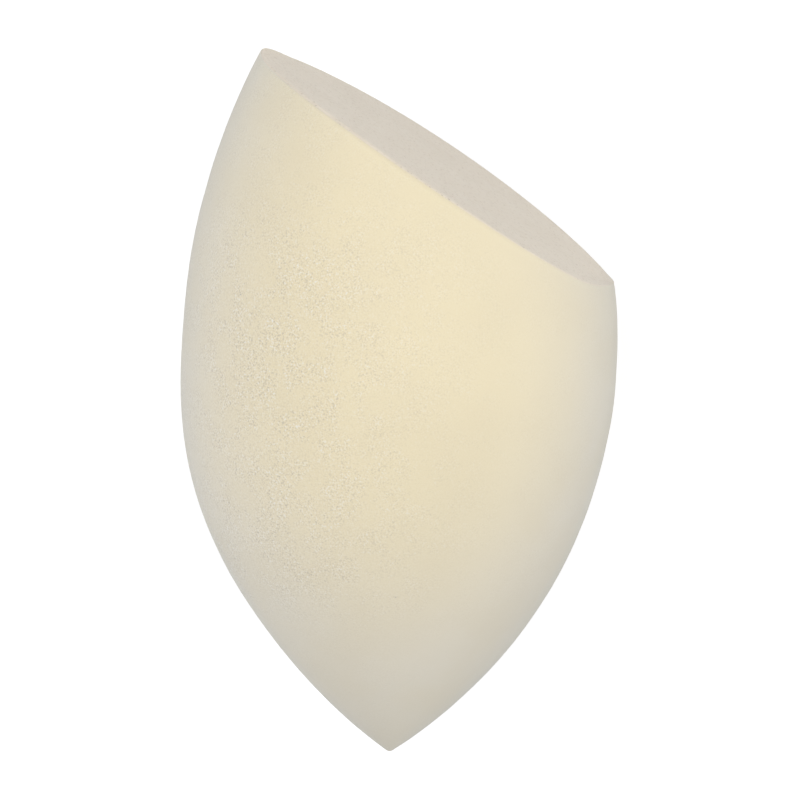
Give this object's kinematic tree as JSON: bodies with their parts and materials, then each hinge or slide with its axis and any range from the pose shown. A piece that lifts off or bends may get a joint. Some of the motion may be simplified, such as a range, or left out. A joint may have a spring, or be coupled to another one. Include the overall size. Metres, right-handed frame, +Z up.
{
  "type": "makeup sponge",
  "caption": "Teardrop foam makeup sponge lying on its side, with a soft point at one end and a slanted flat cut at the other, for pressing and blending make-up into the skin.",
  "frame": {"origin": "on the surface that the sponge lies on, under the middle of its bounding box", "axes": "+Z up from the flattened underside, +Y from the point of the tip towards the slanted cut, +X towards the shorter side of the cut"},
  "size_m": [0.04, 0.0646, 0.0398],
  "materials": {
    "foam_skin": "matte cream foam with a fine closed-cell moulded skin",
    "foam_cut": "matte cream foam, cut smooth, with open cells"
  },
  "bodies": {
    "root": {"moulded_skin": "foam_skin", "foam_core": "foam_cut"}
  },
  "joints": []
}
